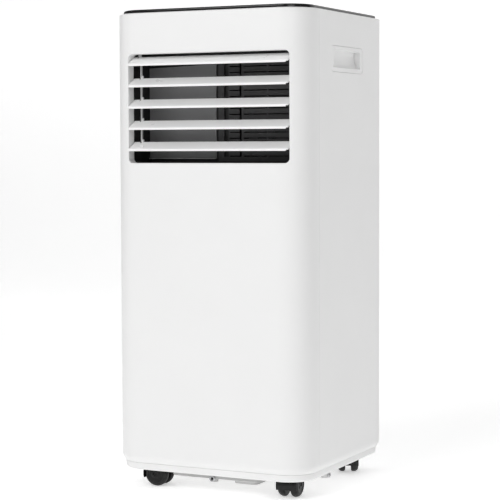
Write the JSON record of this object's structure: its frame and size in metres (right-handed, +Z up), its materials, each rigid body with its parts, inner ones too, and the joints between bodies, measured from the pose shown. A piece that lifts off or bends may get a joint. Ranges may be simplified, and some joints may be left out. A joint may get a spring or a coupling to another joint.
{
  "type": "portable air conditioner",
  "caption": "Upright white portable air conditioner on casters, with tilting front louvers, a gloss black control top, side grips, a filter door and a round rear exhaust collar.",
  "frame": {"origin": "on the floor under the middle of the case", "axes": "+Z up, +X to the right as seen from the front, +Y to the back; the louvers face -Y"},
  "size_m": [0.298, 0.267, 0.66],
  "materials": {
    "case_white": "fine satin moulded ABS",
    "louver_white": "satin moulded ABS",
    "base_white": "matt moulded polypropylene",
    "lid_black": "gloss black ABS",
    "display_black": "dark clear-coated window",
    "duct_black": "matt black",
    "panel_grey": "satin dark grey",
    "caster_black": "satin black nylon",
    "fan_black": "matt black",
    "foam_white": "moulded insulating plastic",
    "steel": "zinc plated sheet",
    "compressor_black": "black painted steel shell",
    "copper": "drawn copper tube",
    "fin_aluminium": "finned coil",
    "board_green": "circuit board",
    "button_grey": "satin dark grey",
    "rubber_black": "matt rubber",
    "filter_mesh": "fine nylon net in a frame"
  },
  "bodies": {
    "case": {"front_cover": "case_white", "outlet_frame": "case_white", "rear_cover": "case_white", "handle_left": "case_white", "handle_right": "case_white", "top_panel": "lid_black", "display_window": "display_black", "control_board": "board_green", "outlet_duct": "duct_black", "outlet_guard": "duct_black", "duct_panel": "panel_grey", "evaporator_scroll": "foam_white", "evaporator_motor": "steel", "condenser_scroll": "foam_white", "condenser_motor": "steel", "splash_motor": "steel", "evaporator_coil": "fin_aluminium", "condenser_coil": "fin_aluminium", "compressor": "compressor_black", "accumulator": "compressor_black", "suction_pipe": "copper", "discharge_pipe": "copper", "capillary_tube": "copper", "condensate_tray": "duct_black", "electrical_box": "steel", "base_pan": "base_white", "lower_grille": "case_white", "exhaust_collar": "case_white", "cord_gland": "rubber_black"},
    "louver_1": {"louver_blade_1": "louver_white"},
    "louver_2": {"louver_blade_2": "louver_white"},
    "louver_3": {"louver_blade_3": "louver_white"},
    "louver_4": {"louver_blade_4": "louver_white"},
    "louver_5": {"louver_blade_5": "louver_white"},
    "louver_link": {"louver_link": "louver_white"},
    "evaporator_fan": {"evaporator_wheel": "fan_black"},
    "condenser_fan": {"condenser_wheel": "fan_black"},
    "splash_fan": {"splash_wheel": "fan_black"},
    "power_button": {"power_button": "button_grey"},
    "mode_button": {"mode_button": "button_grey"},
    "fan_button": {"fan_button": "button_grey"},
    "timer_button": {"timer_button": "button_grey"},
    "up_button": {"up_button": "button_grey"},
    "down_button": {"down_button": "button_grey"},
    "filter_door": {"upper_grille": "case_white", "air_filter": "filter_mesh"},
    "drain_plug_upper": {"drain_cap_upper": "rubber_black"},
    "drain_plug_lower": {"drain_cap_lower": "rubber_black"},
    "caster_front_left": {"caster_front_left_hood": "caster_black"},
    "caster_front_left_wheel_a": {"caster_front_left_wheel_a": "caster_black"},
    "caster_front_left_wheel_b": {"caster_front_left_wheel_b": "caster_black"},
    "caster_front_right": {"caster_front_right_hood": "caster_black"},
    "caster_front_right_wheel_a": {"caster_front_right_wheel_a": "caster_black"},
    "caster_front_right_wheel_b": {"caster_front_right_wheel_b": "caster_black"},
    "caster_rear_left": {"caster_rear_left_hood": "caster_black"},
    "caster_rear_left_wheel_a": {"caster_rear_left_wheel_a": "caster_black"},
    "caster_rear_left_wheel_b": {"caster_rear_left_wheel_b": "caster_black"},
    "caster_rear_right": {"caster_rear_right_hood": "caster_black"},
    "caster_rear_right_wheel_a": {"caster_rear_right_wheel_a": "caster_black"},
    "caster_rear_right_wheel_b": {"caster_rear_right_wheel_b": "caster_black"}
  },
  "joints": [
    {"name": "louver_tilt", "type": "hinge", "parent": "case", "child": "louver_1", "pos_m": [0, -0.124, 0.5897], "axis": [1, 0, 0], "range_deg": [-40, 5]},
    {"name": "louver_tilt_2", "type": "hinge", "parent": "case", "child": "louver_2", "pos_m": [0, -0.124, 0.56062], "axis": [1, 0, 0], "range_deg": [-40, 5]},
    {"name": "louver_tilt_3", "type": "hinge", "parent": "case", "child": "louver_3", "pos_m": [0, -0.124, 0.53154], "axis": [1, 0, 0], "range_deg": [-40, 5]},
    {"name": "louver_tilt_4", "type": "hinge", "parent": "case", "child": "louver_4", "pos_m": [0, -0.124, 0.50246], "axis": [1, 0, 0], "range_deg": [-40, 5]},
    {"name": "louver_tilt_5", "type": "hinge", "parent": "case", "child": "louver_5", "pos_m": [0, -0.124, 0.47338], "axis": [1, 0, 0], "range_deg": [-40, 5]},
    {"name": "louver_link_pin", "type": "hinge", "parent": "louver_1", "child": "louver_link", "pos_m": [-0.107, -0.1136, 0.5979], "axis": [1, 0, 0], "range_deg": [-5, 40]},
    {"name": "evaporator_fan_spin", "type": "hinge", "parent": "case", "child": "evaporator_fan", "pos_m": [-0.046, 0.038, 0.49], "axis": [0, 1, 0], "continuous": true},
    {"name": "condenser_fan_spin", "type": "hinge", "parent": "case", "child": "condenser_fan", "pos_m": [0.05, 0.05, 0.148], "axis": [0, 1, 0], "continuous": true},
    {"name": "splash_fan_spin", "type": "hinge", "parent": "case", "child": "splash_fan", "pos_m": [-0.088, 0.067, 0.084], "axis": [0, 1, 0], "continuous": true},
    {"name": "power_button_press", "type": "slide", "parent": "case", "child": "power_button", "axis": [0, 0, 1], "range_m": [-0.0008, 0], "stiffness_N_per_m": 400, "springref_m": 0.0002},
    {"name": "mode_button_press", "type": "slide", "parent": "case", "child": "mode_button", "axis": [0, 0, 1], "range_m": [-0.0008, 0], "stiffness_N_per_m": 400, "springref_m": 0.0002},
    {"name": "fan_button_press", "type": "slide", "parent": "case", "child": "fan_button", "axis": [0, 0, 1], "range_m": [-0.0008, 0], "stiffness_N_per_m": 400, "springref_m": 0.0002},
    {"name": "timer_button_press", "type": "slide", "parent": "case", "child": "timer_button", "axis": [0, 0, 1], "range_m": [-0.0008, 0], "stiffness_N_per_m": 400, "springref_m": 0.0002},
    {"name": "up_button_press", "type": "slide", "parent": "case", "child": "up_button", "axis": [0, 0, 1], "range_m": [-0.0008, 0], "stiffness_N_per_m": 400, "springref_m": 0.0002},
    {"name": "down_button_press", "type": "slide", "parent": "case", "child": "down_button", "axis": [0, 0, 1], "range_m": [-0.0008, 0], "stiffness_N_per_m": 400, "springref_m": 0.0002},
    {"name": "filter_door_tilt", "type": "hinge", "parent": "case", "child": "filter_door", "pos_m": [0, 0.1315, 0.4085], "axis": [-1, 0, 0], "range_deg": [0, 60]},
    {"name": "drain_plug_upper_pull", "type": "slide", "parent": "case", "child": "drain_plug_upper", "axis": [0, 1, 0], "range_m": [0, 0.015]},
    {"name": "drain_plug_lower_pull", "type": "slide", "parent": "case", "child": "drain_plug_lower", "axis": [0, 1, 0], "range_m": [0, 0.015]},
    {"name": "caster_front_left_swivel", "type": "hinge", "parent": "case", "child": "caster_front_left", "pos_m": [-0.0945, -0.0985, 0.0392], "axis": [0, 0, 1], "continuous": true},
    {"name": "caster_front_left_wheel_a_roll", "type": "hinge", "parent": "caster_front_left", "child": "caster_front_left_wheel_a", "pos_m": [-0.0905, -0.0985, 0.0175], "axis": [0, 1, 0], "continuous": true},
    {"name": "caster_front_left_wheel_b_roll", "type": "hinge", "parent": "caster_front_left", "child": "caster_front_left_wheel_b", "pos_m": [-0.0905, -0.0985, 0.0175], "axis": [0, 1, 0], "continuous": true},
    {"name": "caster_front_right_swivel", "type": "hinge", "parent": "case", "child": "caster_front_right", "pos_m": [0.1092, -0.0985, 0.0392], "axis": [0, 0, 1], "continuous": true},
    {"name": "caster_front_right_wheel_a_roll", "type": "hinge", "parent": "caster_front_right", "child": "caster_front_right_wheel_a", "pos_m": [0.10892, -0.09451, 0.0175], "axis": [-0.9976, -0.0698, 0], "continuous": true},
    {"name": "caster_front_right_wheel_b_roll", "type": "hinge", "parent": "caster_front_right", "child": "caster_front_right_wheel_b", "pos_m": [0.10892, -0.09451, 0.0175], "axis": [-0.9976, -0.0698, 0], "continuous": true},
    {"name": "caster_rear_left_swivel", "type": "hinge", "parent": "case", "child": "caster_rear_left", "pos_m": [-0.0945, 0.0985, 0.0392], "axis": [0, 0, 1], "continuous": true},
    {"name": "caster_rear_left_wheel_a_roll", "type": "hinge", "parent": "caster_rear_left", "child": "caster_rear_left_wheel_a", "pos_m": [-0.09826, 0.09987, 0.0175], "axis": [-0.342, -0.9397, 0], "continuous": true},
    {"name": "caster_rear_left_wheel_b_roll", "type": "hinge", "parent": "caster_rear_left", "child": "caster_rear_left_wheel_b", "pos_m": [-0.09826, 0.09987, 0.0175], "axis": [-0.342, -0.9397, 0], "continuous": true},
    {"name": "caster_rear_right_swivel", "type": "hinge", "parent": "case", "child": "caster_rear_right", "pos_m": [0.1125, 0.0985, 0.0392], "axis": [0, 0, 1], "continuous": true},
    {"name": "caster_rear_right_wheel_a_roll", "type": "hinge", "parent": "caster_rear_right", "child": "caster_rear_right_wheel_a", "pos_m": [0.11081, 0.10212, 0.0175], "axis": [-0.9063, -0.4226, 0], "continuous": true},
    {"name": "caster_rear_right_wheel_b_roll", "type": "hinge", "parent": "caster_rear_right", "child": "caster_rear_right_wheel_b", "pos_m": [0.11081, 0.10212, 0.0175], "axis": [-0.9063, -0.4226, 0], "continuous": true}
  ],
  "couplings": [
    {"joint": "louver_tilt_2", "follows": "louver_tilt", "ratio": 1},
    {"joint": "louver_tilt_3", "follows": "louver_tilt", "ratio": 1},
    {"joint": "louver_tilt_4", "follows": "louver_tilt", "ratio": 1},
    {"joint": "louver_tilt_5", "follows": "louver_tilt", "ratio": 1},
    {"joint": "louver_link_pin", "follows": "louver_tilt", "ratio": -1}
  ]
}
